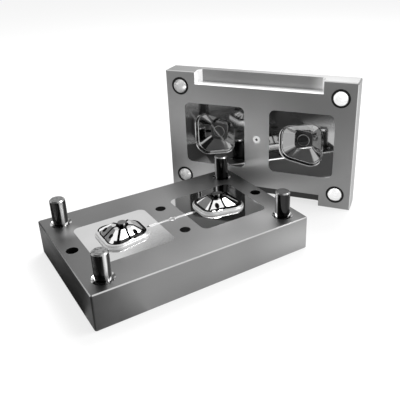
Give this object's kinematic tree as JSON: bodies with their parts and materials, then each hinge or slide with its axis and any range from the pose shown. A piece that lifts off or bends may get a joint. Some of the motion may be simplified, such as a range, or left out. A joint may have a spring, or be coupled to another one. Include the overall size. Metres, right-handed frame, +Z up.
{
  "type": "two-cavity injection mould base",
  "caption": "Open injection mould base: a core half with guide pins, polished cores and an ejector set, and a standing cavity half with guide bushes and clamp notches.",
  "frame": {"origin": "centre of the core half's underside, at the mouth of the knock-out hole, on the surface it lies on", "axes": "+Z up, along the guide pins; +Y out of the back of the standing cavity half, along its sprue; +X along the cavity half's long edge. The core half's long edge is turned 53.66 degrees from +X towards +Y"},
  "size_m": [0.3763, 0.4084, 0.2],
  "materials": {
    "ground_steel": "ground satin steel plates",
    "polished_steel": "mirror-polished mould steel",
    "pin_steel": "hardened and polished dark steel",
    "black_ring": "black-finished hardened steel",
    "dark_pin_end": "dark nitrided steel",
    "screw_black": "black oxide screws",
    "plain_steel": "machined steel, inner and hidden plates"
  },
  "bodies": {
    "core_half": {"core_plate": "ground_steel", "core_insert_left": "polished_steel", "core_pin_left": "pin_steel", "core_insert_screws_left": "screw_black", "guide_pin_front_left": "pin_steel", "guide_pin_back_left": "pin_steel", "core_insert_right": "polished_steel", "core_pin_right": "pin_steel", "core_insert_screws_right": "screw_black", "guide_pin_front_right": "pin_steel", "guide_pin_back_right": "pin_steel", "back_cover": "plain_steel", "back_cover_screws": "screw_black", "stop_buttons": "plain_steel", "support_pillars": "plain_steel"},
    "ejector_set": {"ejector_plate": "plain_steel", "ejector_retainer_plate": "plain_steel", "ejector_plate_screws": "screw_black", "ejector_pins_left": "dark_pin_end", "ejector_pins_right": "dark_pin_end", "return_pins": "dark_pin_end", "sprue_puller_pin": "dark_pin_end"},
    "cavity_half": {"cavity_plate": "ground_steel", "cavity_insert_left": "polished_steel", "cavity_insert_screws_left": "screw_black", "guide_bush_lower_left": "black_ring", "guide_bush_upper_left": "black_ring", "cavity_insert_right": "polished_steel", "cavity_insert_screws_right": "screw_black", "guide_bush_lower_right": "black_ring", "guide_bush_upper_right": "black_ring", "sprue_bush": "polished_steel", "locating_ring": "plain_steel", "locating_ring_screws": "screw_black"}
  },
  "joints": [
    {"name": "ejector_stroke", "type": "slide", "parent": "core_half", "child": "ejector_set", "axis": [0, 0, 1], "range_m": [0, 0.013]},
    {"name": "cavity_half_lift", "type": "slide", "parent": "core_half", "child": "cavity_half", "axis": [0, 0, 1], "range_m": [0, 0.25]}
  ]
}
